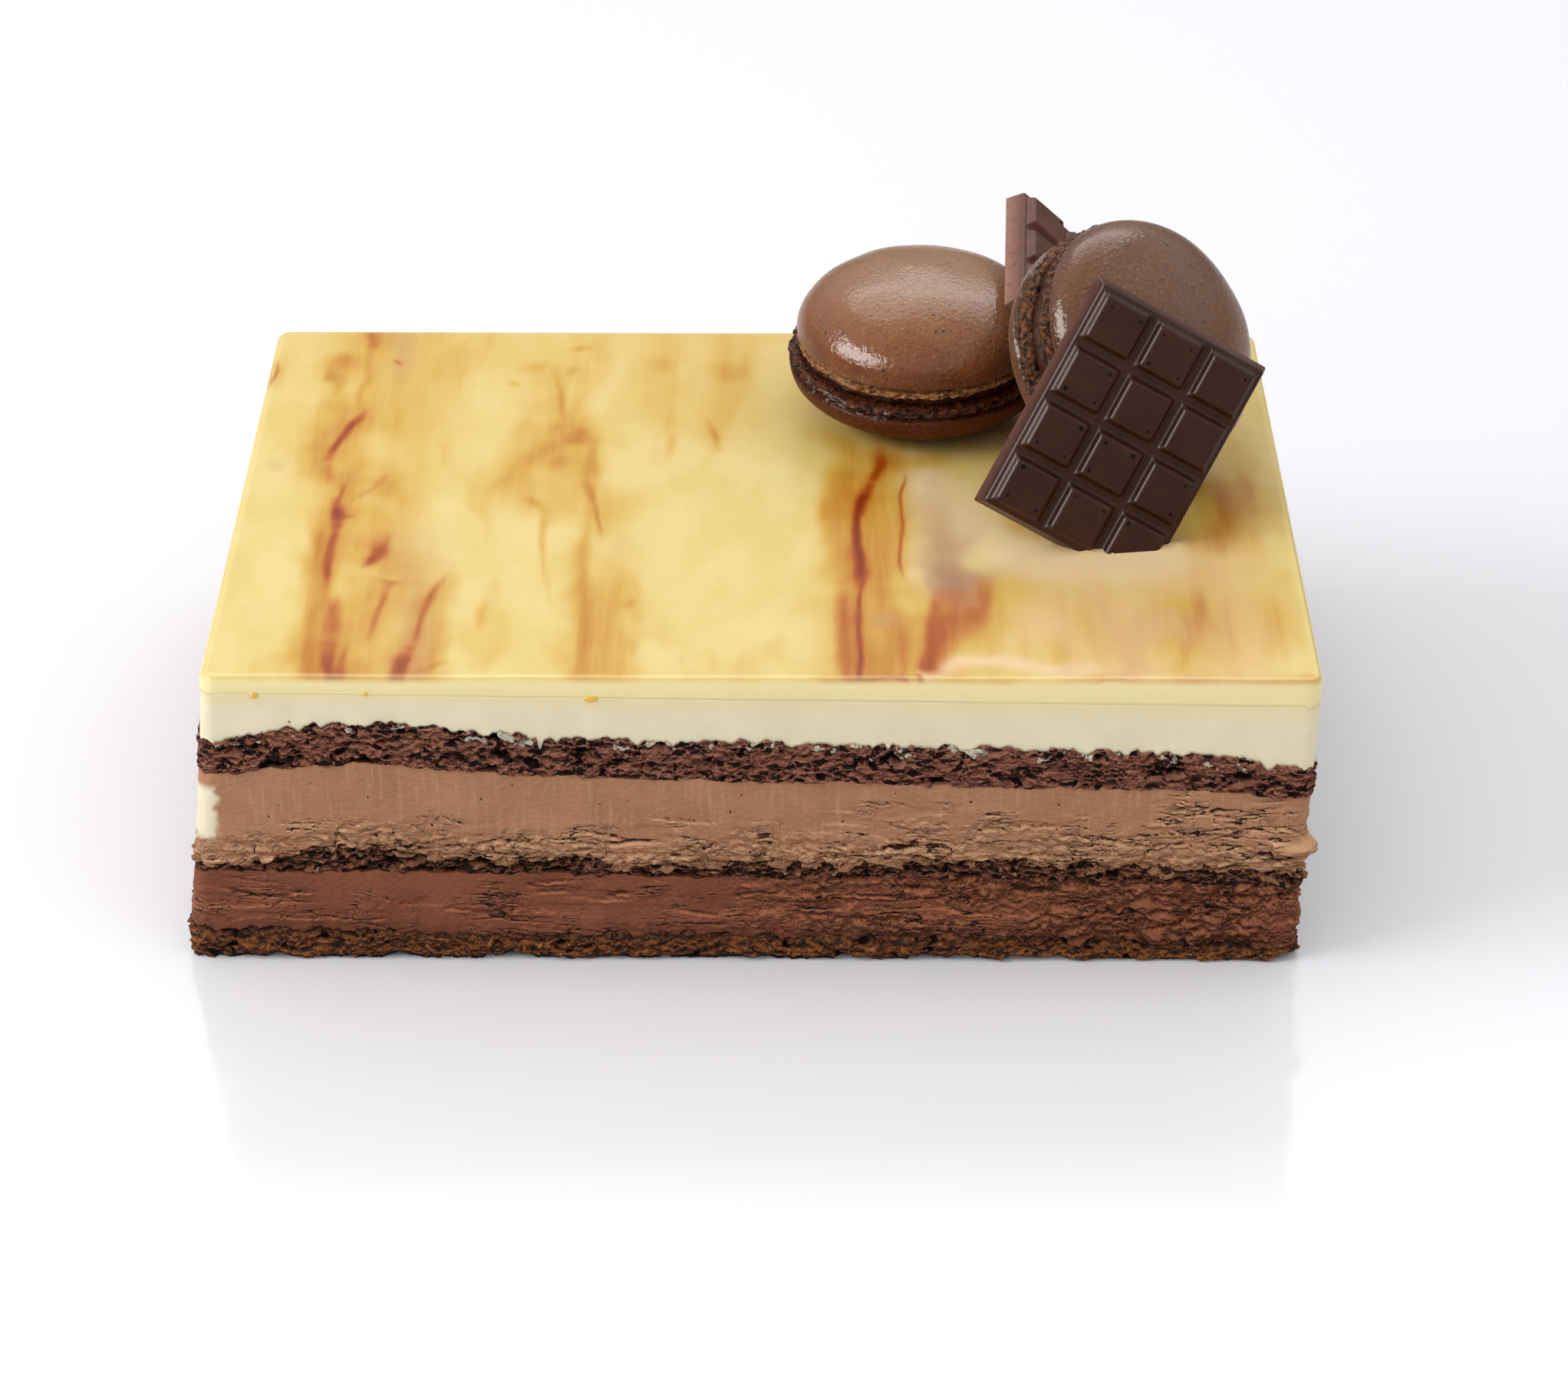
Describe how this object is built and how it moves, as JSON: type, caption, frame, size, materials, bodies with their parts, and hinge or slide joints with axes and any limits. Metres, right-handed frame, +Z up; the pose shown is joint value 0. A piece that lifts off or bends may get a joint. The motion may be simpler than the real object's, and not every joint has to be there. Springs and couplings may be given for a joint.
{
  "type": "triple chocolate mousse cake",
  "caption": "Bar cake of dark, milk and white chocolate mousse with sponge between, on a biscuit base, under a marbled mirror glaze, topped with macarons and moulded chocolate tablets",
  "frame": {"origin": "Under the middle of the cake, on the surface that it stands on", "axes": "+X along the cake's length to the right as seen from the front, +Y to the back, +Z up; the front face looks along -Y"},
  "size_m": [0.2046, 0.145, 0.1064],
  "materials": {
    "biscuit": "crumbly baked biscuit, matte",
    "dark_mousse": "set dark chocolate mousse with fine cracks, satin",
    "sponge": "open-crumbed chocolate sponge, matte",
    "milk_mousse": "set milk chocolate mousse, smooth to crumbly, matte",
    "white_mousse": "smooth white chocolate mousse, satin",
    "glaze": "pale yellow mirror glaze marbled with caramel, wet gloss",
    "macaron_shell": "smooth baked shell with a crinkled foot, soft sheen",
    "macaron_filling": "dark chocolate ganache, glossy",
    "chocolate": "tempered dark chocolate, semi-gloss"
  },
  "bodies": {
    "root": {"biscuit_base": "biscuit", "dark_mousse": "dark_mousse", "lower_sponge": "sponge", "milk_mousse": "milk_mousse", "upper_sponge": "sponge", "white_mousse": "white_mousse", "glaze": "glaze", "flat_macaron_upper_shell": "macaron_shell", "flat_macaron_filling": "macaron_filling", "flat_macaron_lower_shell": "macaron_shell", "leaning_macaron_upper_shell": "macaron_shell", "leaning_macaron_filling": "macaron_filling", "leaning_macaron_lower_shell": "macaron_shell", "front_tablet": "chocolate", "back_tablet": "chocolate"}
  },
  "joints": []
}
